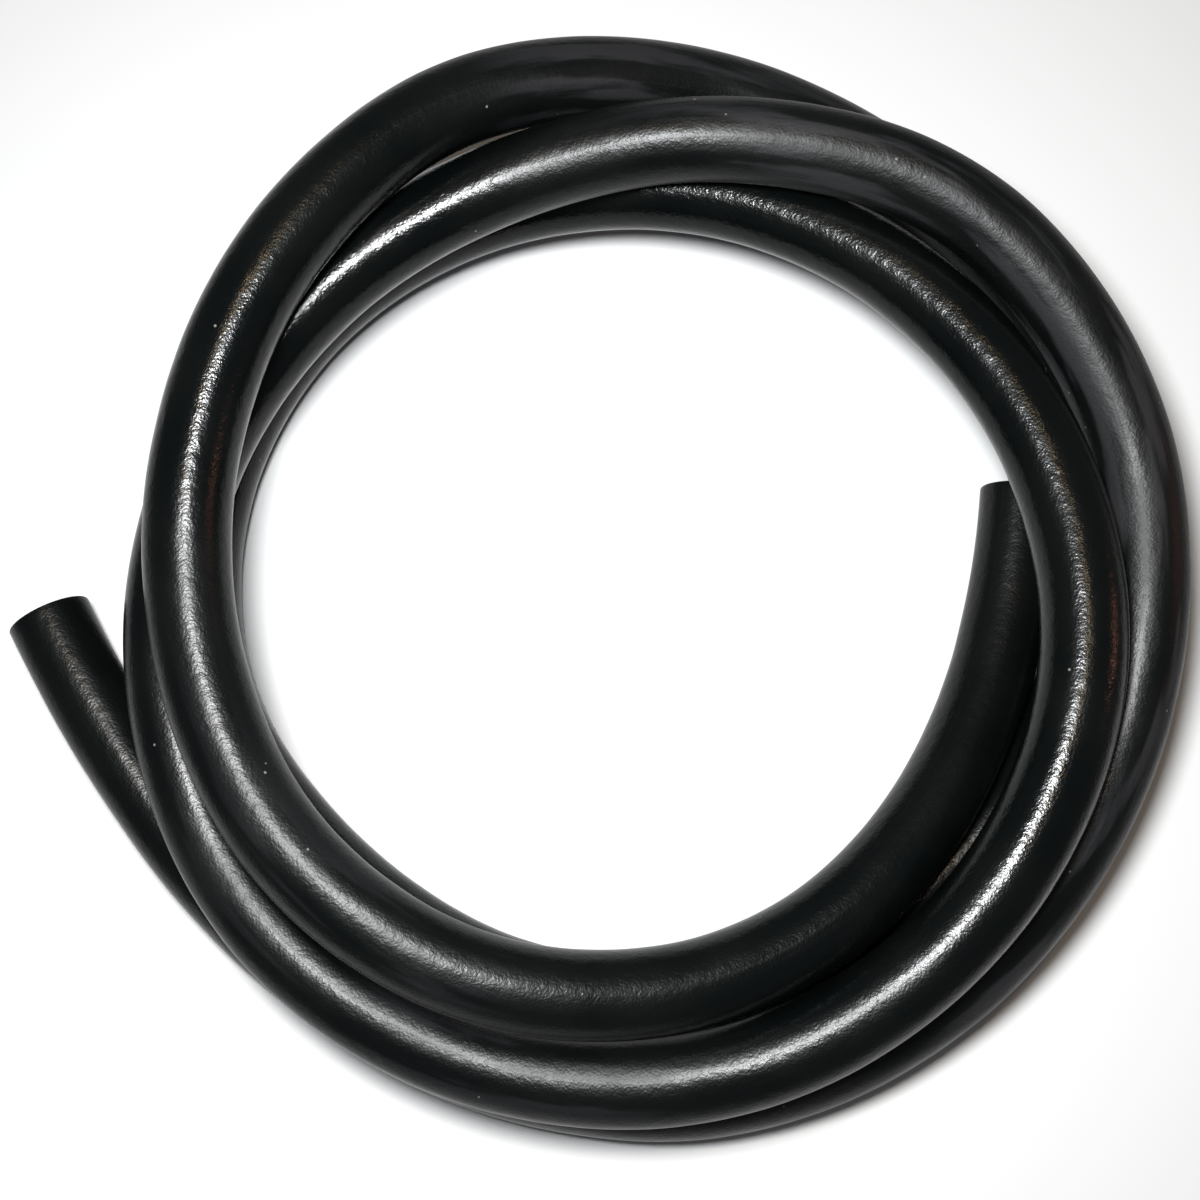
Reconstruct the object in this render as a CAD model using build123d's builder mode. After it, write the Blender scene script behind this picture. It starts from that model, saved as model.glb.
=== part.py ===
"""A bare half-inch hose lying in a loose coil of three and a half turns, cut square at both ends.

The frame has +Z up and its origin under the middle of the coil, on the ground. The hose starts
inside the coil, at its inner end, and winds outwards, clockwise as seen from above.
"""

from build123d import *

import os
from math import cos, radians, sin, tan

# The hose, in millimetres
OUTSIDE = 19.0  # outside diameter
BORE = 12.7  # inside diameter
GROUND = OUTSIDE / 2  # height of the centreline where the hose lies on the ground
END_LENGTH = 20.0  # straight bored length at each cut end

# The coil
PLACES = 12  # places round the clock in one turn, evenly spaced
STEP = 360 / PLACES
FIRST_PLACE = -45.0  # direction of the first place, in degrees anticlockwise from +X
COIL_MIDDLE = (4.4, -0.7)  # point that the places are spaced around
ROUNDING = 0.9675  # how far in the rounded line passes, as a share of a corner's radius
BEND_SHARE = 0.45  # share of the shorter run that each bend takes up

# Centreline of the hose at each place round the clock, as (radius from the coil's middle, height).
# The hose leaves its inner end low, climbs over its own second turn, goes down the outside to the
# ground, crosses back inwards underneath, climbs out over the inner end and rests on what is below.
FIRST_TURN = [
    (88.0, 29.0), (90.3, 37.0), (90.6, 45.0), (88.8, 48.0), (86.4, 48.0), (88.2, 51.0),
    (95.0, 54.5), (108.0, 48.0), (119.4, 22.0), (122.5, GROUND), (122.0, GROUND), (109.5, GROUND),
]
SECOND_TURN = [
    (98.5, GROUND), (96.5, GROUND), (90.5, GROUND), (88.0, GROUND), (93.0, GROUND), (94.5, 10.0),
    (94.3, 12.5), (92.5, 18.5), (92.2, 26.0), (94.0, 33.0), (98.5, 38.0), (104.0, 41.5),
]
THIRD_TURN = [
    (107.0, 38.0), (109.6, 32.0), (108.0, 29.0), (105.0, 28.5), (98.5, 28.5), (92.7, 30.0),
    (89.0, 33.0), (89.0, 38.0), (96.8, 46.5), (112.7, 45.0), (119.3, 34.5), (118.0, 27.8),
]
OUTER_TURN = [(117.5, 18.0), (116.5, 11.5), (110.5, GROUND)]

# The cut ends, measured from the coil's middle. A heading is the way the hose runs from its inner
# end towards its outer end, in degrees anticlockwise from +X.
INNER_CUT = (97.5, 23.0)
INNER_HEADING = -96.5
OUTER_CUT = (-128.5, -6.5)
OUTER_HEADING = 118.0
OUTER_TAIL = [(-76.0, -81.0)]  # corners between the coil and the outer end's run


def from_middle(x, y, height=GROUND):
    """A point of the route, given from the coil's middle."""
    return Vector(COIL_MIDDLE[0] + x, COIL_MIDDLE[1] + y, height)


def along(heading):
    """The level direction that a heading stands for."""
    return Vector(cos(radians(heading)), sin(radians(heading)), 0)


def route():
    """Corners of the whole hose's centreline, from its inner end to its outer end."""
    end_run = END_LENGTH / (1 - BEND_SHARE)
    inner_cut = from_middle(*INNER_CUT)
    outer_cut = from_middle(*OUTER_CUT)
    corners = [inner_cut, inner_cut + along(INNER_HEADING) * end_run]
    for place, (radius, height) in enumerate(FIRST_TURN + SECOND_TURN + THIRD_TURN + OUTER_TURN):
        angle = radians(FIRST_PLACE - STEP * place)
        reach = radius / ROUNDING
        corners.append(from_middle(reach * cos(angle), reach * sin(angle), height))
    corners += [from_middle(x, y) for x, y in OUTER_TAIL]
    corners += [outer_cut - along(OUTER_HEADING) * end_run, outer_cut]
    return corners


def bend_radius(before, corner, after):
    """The largest bend that leaves some of both runs straight."""
    shorter = min((corner - before).length, (after - corner).length)
    turn = (corner - before).get_angle(after - corner)
    return BEND_SHARE * shorter / tan(radians(turn) / 2)


def section(centre, direction):
    """The hose's ring-shaped section, square to the direction that the hose runs in."""
    with BuildSketch(Plane(origin=centre, z_dir=direction)) as ring:
        Circle(OUTSIDE / 2)
        Circle(BORE / 2, mode=Mode.SUBTRACT)
    return ring.sketch


def stretch(name, pieces):
    """Draw the ring along some pieces of the centreline, write its STEP file and check its volume."""
    path = Wire(pieces)
    ring = section(path @ 0, path % 0)
    with BuildPart() as hose:
        add(ring)
        sweep(path=path)
    hose.part.label = name
    export_step(hose.part, f"parts/{name}.step")
    print(f"{name}: length {path.length:.1f} mm, volume {hose.part.volume:.0f} mm3", end="")
    print(f" where section times length is {ring.area * path.length:.0f} mm3")


os.makedirs("parts", exist_ok=True)

corners = route()
bends = [bend_radius(*corners[i - 1 : i + 2]) for i in range(1, len(corners) - 1)]
print("bend radii:", [round(bend) for bend in bends])
print(f"tightest bend {min(bends):.1f} mm, {min(bends) / OUTSIDE:.1f} diameters")

# The whole centreline: a straight run, then a bend and a run for each corner
with BuildLine() as centreline:
    FilletPolyline(*corners, radius=bends)
whole = centreline.wire()
pieces = whole.order_edges()
print(f"whole hose: length {whole.length:.1f} mm in {len(pieces)} runs and bends")

# The cut ends are the first and last runs. Each turn between them takes a bend for every place
# round the clock, and the run after each bend; the first one also leaves the inner end.
stretch("inner_end", pieces[:1])
start = 1
for name, turn_bends in [("first_turn", PLACES + 1), ("second_turn", PLACES), ("third_turn", PLACES)]:
    finish = start + 2 * turn_bends
    stretch(name, pieces[start:finish])
    start = finish
stretch("outer_half_turn", pieces[start:-1])
stretch("outer_end", pieces[-1:])
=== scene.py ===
"""A loose coil of glossy black half-inch hose, cut square at both ends, on a pale studio floor."""

from math import cos, pi, radians, sin

import bpy
import numpy as np
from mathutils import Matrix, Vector, noise


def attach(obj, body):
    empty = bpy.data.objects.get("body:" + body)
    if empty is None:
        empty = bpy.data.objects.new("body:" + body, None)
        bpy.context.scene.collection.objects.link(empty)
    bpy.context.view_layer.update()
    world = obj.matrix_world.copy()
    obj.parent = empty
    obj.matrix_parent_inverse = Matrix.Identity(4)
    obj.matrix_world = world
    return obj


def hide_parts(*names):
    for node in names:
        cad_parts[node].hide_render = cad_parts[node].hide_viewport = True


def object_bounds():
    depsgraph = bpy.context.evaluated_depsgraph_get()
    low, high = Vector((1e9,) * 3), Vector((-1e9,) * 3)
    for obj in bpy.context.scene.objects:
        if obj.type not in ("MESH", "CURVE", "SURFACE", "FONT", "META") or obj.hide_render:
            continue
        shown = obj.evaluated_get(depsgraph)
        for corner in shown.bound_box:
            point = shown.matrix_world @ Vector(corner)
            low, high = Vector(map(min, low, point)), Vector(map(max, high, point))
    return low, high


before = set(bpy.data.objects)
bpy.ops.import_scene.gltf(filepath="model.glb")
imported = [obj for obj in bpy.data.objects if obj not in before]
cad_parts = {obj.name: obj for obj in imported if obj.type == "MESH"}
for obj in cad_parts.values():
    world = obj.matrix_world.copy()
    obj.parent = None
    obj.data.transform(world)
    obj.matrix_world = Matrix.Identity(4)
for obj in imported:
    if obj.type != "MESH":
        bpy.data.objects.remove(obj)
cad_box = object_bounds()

MM = 0.001
UP = np.array([0.0, 0.0, 1.0])

# The hose, as in the CAD model, in metres
OUTSIDE = 19.0 * MM
BORE = 12.7 * MM
GROUND = OUTSIDE / 2
END_RUN = 20.0 * MM / 0.55  # first and last runs of the route, 0.55 of which stays straight
PLACES = 12  # places round the clock in one turn
STEP = 360 / PLACES
FIRST_PLACE = -45.0  # direction of the first place, in degrees anticlockwise from +X
COIL_MIDDLE = (4.4 * MM, -0.7 * MM)  # point that the places are spaced around
ROUNDING = 0.9675  # how far in the rounded line passes, as a share of a corner's radius

# Route of the hose: (radius from the coil's middle, height) at each place, in millimetres
FIRST_TURN = [
    (88.0, 29.0), (90.3, 37.0), (90.6, 45.0), (88.8, 48.0), (86.4, 48.0), (88.2, 51.0),
    (95.0, 54.5), (108.0, 48.0), (119.4, 22.0), (122.5, 9.5), (122.0, 9.5), (109.5, 9.5),
]
SECOND_TURN = [
    (98.5, 9.5), (96.5, 9.5), (90.5, 9.5), (88.0, 9.5), (93.0, 9.5), (94.5, 10.0),
    (94.3, 12.5), (92.5, 18.5), (92.2, 26.0), (94.0, 33.0), (98.5, 38.0), (104.0, 41.5),
]
THIRD_TURN = [
    (107.0, 38.0), (109.6, 32.0), (108.0, 29.0), (105.0, 28.5), (98.5, 28.5), (92.7, 30.0),
    (89.0, 33.0), (89.0, 38.0), (96.8, 46.5), (112.7, 45.0), (119.3, 34.5), (118.0, 27.8),
]
OUTER_TURN = [(117.5, 18.0), (116.5, 11.5), (110.5, 9.5)]
INNER_CUT = (97.5, 23.0)
INNER_HEADING = -96.5
OUTER_CUT = (-128.5, -6.5)
OUTER_HEADING = 118.0
OUTER_TAIL = [(-76.0, -81.0)]

# How the mesh is divided
AROUND = 40  # points round the section
STEPS_PER_POINT = 44  # rings of the outer wall to each point of the route
BORE_STRIDE = 4  # the bore has a ring at every so many of the wall's
LIP = 0.4 * MM  # rounding at the edges of the cut faces
LIP_STEPS = 4  # rings over each lip, less one
END_BLEND = 60 * MM  # distance from a cut end over which the section flattens

# How bending and handling have shaped the hose
PLAN_SHARE = 0.965  # its width in the coil, as a share of its true diameter
SWELL = 0.13 * MM  # how far its wall waves in and out
SLOW_WAVE = 22 * MM  # length of the slow waves in the wall
FAST_WAVE = 8 * MM  # length of the faster, weaker waves

# How dull wear has left its skin, as (share of the whole length, dullness from 0 to 1)
WEAR = [
    (0.0, 0.35), (0.07, 0.35), (0.09, 0.75), (0.13, 0.6), (0.15, 0.0), (0.175, 0.1), (0.2, 0.9),
    (0.26, 0.6), (0.3, 0.2), (0.56, 0.1), (0.585, 0.0), (0.6, 0.45), (0.63, 0.75), (0.68, 0.65),
    (0.71, 0.0), (0.745, 0.0), (0.765, 0.65), (0.78, 1.0), (0.88, 0.9), (0.93, 0.6), (1.0, 0.45),
]

# Looks of the skin, as (low, high) where they vary. Sizes are textures' scales, per metre.
PEBBLES = (1900.0, 0.000065)  # scale, and depth in metres
RIPPLES = (420.0, 0.00012)
PATCHES = 34.0
SPECKS = 330.0
SKIN_BLACK = [(0.0006, 0.0009, 0.0009), (0.0012, 0.0015, 0.0014)]
SCUFFED = (0.010, 0.010, 0.011)
DUST = (0.16, 0.16, 0.15)
SKIN_ROUGHNESS = (0.16, 0.21)
ROUGHER = {"streaks": 0.05, "dull": 0.27, "specks": 0.3}  # most that each adds to the roughness


def from_middle(x, y, height=GROUND):
    """A point of the route, in metres."""
    return Vector((COIL_MIDDLE[0] + x, COIL_MIDDLE[1] + y, height))


def along(heading):
    """The level direction that a heading stands for."""
    return Vector((cos(radians(heading)), sin(radians(heading)), 0))


def route():
    """Points of the whole hose's route, from its inner end to its outer end."""
    inner_cut = from_middle(INNER_CUT[0] * MM, INNER_CUT[1] * MM)
    outer_cut = from_middle(OUTER_CUT[0] * MM, OUTER_CUT[1] * MM)
    points = [inner_cut, inner_cut + along(INNER_HEADING) * END_RUN]
    for place, (radius, height) in enumerate(FIRST_TURN + SECOND_TURN + THIRD_TURN + OUTER_TURN):
        angle = radians(FIRST_PLACE - STEP * place)
        reach = radius * MM / ROUNDING
        points.append(from_middle(reach * cos(angle), reach * sin(angle), height * MM))
    points += [from_middle(x * MM, y * MM) for x, y in OUTER_TAIL]
    points += [outer_cut - along(OUTER_HEADING) * END_RUN, outer_cut]
    return points


def centreline(points):
    """The smooth line that the route's points control, as an array of points read from it."""
    curve = bpy.data.curves.new("centreline", "CURVE")
    curve.dimensions = "3D"
    curve.resolution_u = STEPS_PER_POINT
    spline = curve.splines.new("NURBS")
    spline.points.add(len(points) - 1)
    for target, point in zip(spline.points, points):
        target.co = (*point, 1)
    spline.order_u = 3
    spline.use_endpoint_u = True
    holder = bpy.data.objects.new("centreline", curve)
    bpy.context.scene.collection.objects.link(holder)
    bpy.context.view_layer.update()
    graph = bpy.context.evaluated_depsgraph_get()
    read = bpy.data.meshes.new_from_object(holder.evaluated_get(graph))
    line = np.array([vertex.co for vertex in read.vertices])
    bpy.data.objects.remove(holder)
    bpy.data.curves.remove(curve)
    bpy.data.meshes.remove(read)
    return line


class Section:
    """Where the hose's section stands at each point of its centreline, and how wide it is there."""

    def __init__(self, line):
        self.line = line
        self.forward = np.gradient(line, axis=0)
        self.forward /= np.linalg.norm(self.forward, axis=1)[:, None]
        self.side = np.cross(self.forward, UP)
        self.side /= np.linalg.norm(self.side, axis=1)[:, None]
        self.top = np.cross(self.side, self.forward)
        run = np.linalg.norm(np.diff(line, axis=0), axis=1)
        self.travel = np.concatenate([[0], np.cumsum(run)])
        from_end = np.minimum(self.travel, self.travel[-1] - self.travel)
        bent = np.clip(from_end / END_BLEND, 0, 1)
        bent = bent * bent * (3 - 2 * bent)
        self.width = 1 - (1 - PLAN_SHARE) * bent
        self.angles = 2 * pi * np.arange(AROUND) / AROUND

    def ring(self, index, radius, forward=0.0, swell=0.0):
        """Points round the section at one point of the centreline, moved forward along it."""
        across = np.cos(self.angles)[:, None] * self.side[index] * self.width[index]
        upright = np.sin(self.angles)[:, None] * self.top[index]
        grow = np.full(AROUND, radius)
        if swell:
            grow = grow + swell * self.waves(index)
        return self.line[index] + forward * self.forward[index] + (across + upright) * grow[:, None]

    def nearest(self, point):
        """Travel at the point of the centreline nearest to a point."""
        return self.travel[np.argmin(np.linalg.norm(self.line - point, axis=1))]

    def waves(self, index):
        """Slow waves in the wall, from -1 to 1, the same each time."""
        place = self.travel[index]
        found = []
        for angle in self.angles:
            spot = Vector((cos(angle) * 0.9, sin(angle) * 0.9, place / SLOW_WAVE))
            fine = Vector((cos(angle) * 1.7 + 9, sin(angle) * 1.7, place / FAST_WAVE))
            found.append(noise.noise(spot) + 0.35 * noise.noise(fine))
        return np.array(found)


def tube_rings(section):
    """All rings of the closed wall: the outside, a cut face, the bore back, the other cut face."""
    last = len(section.line) - 1
    outer, inner = OUTSIDE / 2, BORE / 2
    rings = [section.ring(i, outer, swell=SWELL) for i in range(1, last)]
    rings += cut_face(section, last, outer, inner, 1)
    rings += [section.ring(i, inner) for i in range(last - 2, 1, -BORE_STRIDE)]
    rings += reversed(cut_face(section, 0, outer, inner, -1))
    return rings


def cut_face(section, index, outer, inner, way):
    """Rings over a cut end, from its outside edge to its bore, with both edges a little rounded."""
    rings = []
    for step in range(LIP_STEPS + 1):
        turn = pi / 2 * step / LIP_STEPS
        inward, back = LIP * (1 - cos(turn)), LIP * (1 - sin(turn))
        rings.append(section.ring(index, outer - inward, -way * back))
    for step in range(LIP_STEPS + 1):
        turn = pi / 2 * step / LIP_STEPS
        outward, back = LIP * (1 - sin(turn)), LIP * (1 - cos(turn))
        rings.append(section.ring(index, inner + outward, -way * back))
    return rings


def mesh_from_rings(name, rings, section):
    """A closed mesh through a loop of rings, each joined to the next and the last to the first."""
    count = len(rings)
    corner = np.arange(count)[:, None] * AROUND + np.arange(AROUND)
    after = np.roll(corner, -1, axis=0)
    corners = [corner, np.roll(corner, -1, axis=1), np.roll(after, -1, axis=1), after]
    faces = np.stack(corners, axis=-1)
    mesh = bpy.data.meshes.new(name)
    mesh.from_pydata(np.concatenate(rings).tolist(), [], faces.reshape(-1, 4).tolist())
    mesh.shade_smooth()
    mesh.update()
    # Each point's place on the skin: cosine and sine round the section, and travel along it
    nearest = np.array([section.nearest(ring.mean(axis=0)) for ring in rings])
    around = np.stack([np.cos(section.angles), np.sin(section.angles)], axis=1)
    travel = np.repeat(nearest, AROUND)[:, None]
    skin = np.concatenate([np.tile(around, (count, 1)), travel], axis=1)
    mesh.attributes.new("skin", "FLOAT_VECTOR", "POINT").data.foreach_set("vector", skin.ravel())
    return mesh


class Nodes:
    """Short ways to add the nodes of one material and join them."""

    def __init__(self, material):
        material.use_nodes = True
        self.tree = material.node_tree
        self.shader = self.tree.nodes["Principled BSDF"]

    def put(self, node, inputs):
        """Give a node its inputs: a socket is joined, anything else is set."""
        for name, value in inputs.items():
            if isinstance(value, bpy.types.NodeSocket):
                self.tree.links.new(value, node.inputs[name])
            else:
                node.inputs[name].default_value = value

    def noise(self, place, scale, detail=1.0):
        node = self.tree.nodes.new("ShaderNodeTexNoise")
        self.put(node, {"Vector": place, "Scale": scale, "Detail": detail})
        return node.outputs["Fac"]

    def stretched(self, place, scale):
        node = self.tree.nodes.new("ShaderNodeMapping")
        self.put(node, {"Vector": place, "Scale": scale})
        return node.outputs["Vector"]

    def ramp(self, value, low, high, start=0.0, end=1.0):
        """Start up to low, end from high, and a smooth change between."""
        node = self.tree.nodes.new("ShaderNodeMapRange")
        node.interpolation_type = "SMOOTHSTEP"
        self.put(node, {"Value": value, "From Min": low, "From Max": high})
        self.put(node, {"To Min": start, "To Max": end})
        return node.outputs["Result"]

    def levels(self, value, stops):
        """A smooth line through some (place, level) stops."""
        node = self.tree.nodes.new("ShaderNodeValToRGB")
        node.color_ramp.interpolation = "EASE"
        elements = node.color_ramp.elements
        while len(elements) < len(stops):
            elements.new(0.5)
        for element, (at, level) in zip(elements, stops):
            element.position = at
            element.color = (level, level, level, 1)
        self.tree.links.new(value, node.inputs["Fac"])
        return node.outputs["Color"]

    def maths(self, operation, first, second):
        node = self.tree.nodes.new("ShaderNodeMath")
        node.operation = operation
        for socket, value in zip(node.inputs, (first, second)):
            if isinstance(value, bpy.types.NodeSocket):
                self.tree.links.new(value, socket)
            else:
                socket.default_value = value
        return node.outputs["Value"]

    def mix_colour(self, share, first, second):
        node = self.tree.nodes.new("ShaderNodeMix")
        node.data_type = "RGBA"
        self.tree.links.new(share, node.inputs[0])
        for socket, value in zip(node.inputs[6:8], (first, second)):
            if isinstance(value, bpy.types.NodeSocket):
                self.tree.links.new(value, socket)
            else:
                socket.default_value = (*value, 1)
        return node.outputs[2]

    def bump(self, height, distance, under=None):
        node = self.tree.nodes.new("ShaderNodeBump")
        self.put(node, {"Height": height, "Distance": distance, "Strength": 1.0})
        if under:
            self.tree.links.new(under, node.inputs["Normal"])
        return node.outputs["Normal"]


def hose_material(length):
    """Glossy black hose wall: a pebbled skin, dull scuffed stretches, faint streaks and dust."""
    material = bpy.data.materials.new("hose_wall")
    nodes = Nodes(material)
    place = nodes.tree.nodes.new("ShaderNodeTexCoord").outputs["Object"]
    attribute = nodes.tree.nodes.new("ShaderNodeAttribute")
    attribute.attribute_name = "skin"
    skin = attribute.outputs["Vector"]
    split = nodes.tree.nodes.new("ShaderNodeSeparateXYZ")
    nodes.put(split, {"Vector": skin})
    travel = split.outputs["Z"]

    # Where handling and dust have dulled the skin, by travel along the hose, in uneven smears
    wear = nodes.levels(nodes.maths("DIVIDE", travel, length), WEAR)
    smears = nodes.noise(nodes.stretched(skin, (2.2, 2.2, 26.0)), 1.0, 3.0)
    dull = nodes.maths("MULTIPLY", wear, nodes.ramp(smears, 0.30, 0.70, 0.7, 1.2))
    scuffs = nodes.maths("MULTIPLY", nodes.ramp(wear, 0.55, 0.95), nodes.ramp(smears, 0.48, 0.64))
    patches = nodes.noise(place, PATCHES, 3.0)
    streaks = nodes.ramp(nodes.noise(nodes.stretched(skin, (9.0, 9.0, 12.0)), 1.0, 2.0), 0.58, 0.74)

    # Dust: specks half a millimetre across, thinly scattered, and more where the skin is rubbed
    cells = nodes.tree.nodes.new("ShaderNodeTexVoronoi")
    nodes.put(cells, {"Vector": place, "Scale": SPECKS})
    chance = nodes.tree.nodes.new("ShaderNodeSeparateColor")
    nodes.put(chance, {"Color": cells.outputs["Color"]})
    bare = nodes.ramp(scuffs, 0.0, 1.0, 0.965, 0.82)
    few = nodes.maths("GREATER_THAN", chance.outputs["Red"], bare)
    dot = nodes.ramp(cells.outputs["Distance"], 0.05, 0.13, 1.0, 0.0)
    specks = nodes.maths("MULTIPLY", few, dot)

    colour = nodes.mix_colour(nodes.ramp(patches, 0.35, 0.65), *SKIN_BLACK)
    colour = nodes.mix_colour(nodes.maths("MULTIPLY", scuffs, 0.8), colour, SCUFFED)
    colour = nodes.mix_colour(nodes.maths("MULTIPLY", specks, 0.5), colour, DUST)
    rough = nodes.ramp(patches, 0.36, 0.64, *SKIN_ROUGHNESS)
    for mask, name in [(streaks, "streaks"), (dull, "dull"), (specks, "specks")]:
        rough = nodes.maths("ADD", rough, nodes.maths("MULTIPLY", mask, ROUGHER[name]))

    ripples = nodes.bump(nodes.noise(place, RIPPLES[0], 2.0), RIPPLES[1])
    pebbles = nodes.bump(nodes.noise(place, PEBBLES[0], 2.0), PEBBLES[1], ripples)
    nodes.put(nodes.shader, {"Base Color": colour, "Roughness": rough, "Normal": pebbles})
    nodes.put(nodes.shader, {"IOR": 1.5, "Specular IOR Level": 0.14})
    return material


def floor_material():
    """Plain matt studio paper, a light grey that the key light brings up to white."""
    material = bpy.data.materials.new("studio_floor")
    nodes = Nodes(material)
    nodes.put(nodes.shader, {"Base Color": (0.34, 0.34, 0.34, 1), "Roughness": 0.9})
    nodes.put(nodes.shader, {"Specular IOR Level": 0.2})
    return material


def make_hose():
    line = centreline(route())
    section = Section(line)
    hose = bpy.data.objects.new("hose", mesh_from_rings("hose", tube_rings(section), section))
    bpy.context.scene.collection.objects.link(hose)
    hose.data.materials.append(hose_material(float(section.travel[-1])))
    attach(hose, "root")
    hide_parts("inner_end", "first_turn", "second_turn", "third_turn", "outer_half_turn",
                "outer_end")


def make_floor():
    reach = 6.0  # half its side
    mesh = bpy.data.meshes.new("floor")
    corners = [(-reach, -reach, 0), (reach, -reach, 0), (reach, reach, 0), (-reach, reach, 0)]
    mesh.from_pydata(corners, [], [(0, 1, 2, 3)])
    floor = bpy.data.objects.new("floor", mesh)
    floor.location.z = cad_box[0][2] - 0.2 * MM
    bpy.context.scene.collection.objects.link(floor)
    mesh.materials.append(floor_material())


def make_camera():
    """Looks down on the coil, tipped a little towards +Y."""
    tilt = radians(10.0)
    distance = 397.2 * MM
    aim = Vector((3.2 * MM, -1.9 * MM, 0))
    data = bpy.data.cameras.new("camera")
    data.lens = 50.25
    data.sensor_width = 36.0
    camera = bpy.data.objects.new("camera", data)
    camera.location = aim + distance * Vector((0, -sin(tilt), cos(tilt)))
    camera.rotation_euler = (tilt, 0, 0)
    bpy.context.scene.collection.objects.link(camera)
    bpy.context.scene.camera = camera


def area_light(name, location, aim, size, power, colour=(1, 1, 1)):
    data = bpy.data.lights.new(name, "AREA")
    data.shape = "DISK"
    data.size = size
    data.energy = power
    data.color = colour
    light = bpy.data.objects.new(name, data)
    light.location = location
    light.rotation_euler = (Vector(aim) - Vector(location)).to_track_quat("-Z", "Y").to_euler()
    bpy.context.scene.collection.objects.link(light)


def make_light():
    area_light("key", (-0.0325, -0.0175, 0.40), (0, 0, 0), 0.08, 5.8, (0.97, 0.99, 1.0))
    area_light("warm", (-0.02, 0.30, 1.5), (0, 0, 0), 0.07, 3.0, (1.0, 0.70, 0.36))
    area_light("rim", (1.5, 0.15, 0.55), (0, 0, 0), 0.12, 1.4, (1.0, 0.42, 0.26))
    world = bpy.data.worlds.new("world")
    world.use_nodes = True
    background = world.node_tree.nodes["Background"]
    background.inputs["Color"].default_value = (0.9, 0.95, 1.0, 1)
    background.inputs["Strength"].default_value = 0.22
    bpy.context.scene.world = world
    bpy.context.scene.view_settings.view_transform = "Standard"


make_camera()
make_hose()
make_floor()
make_light()
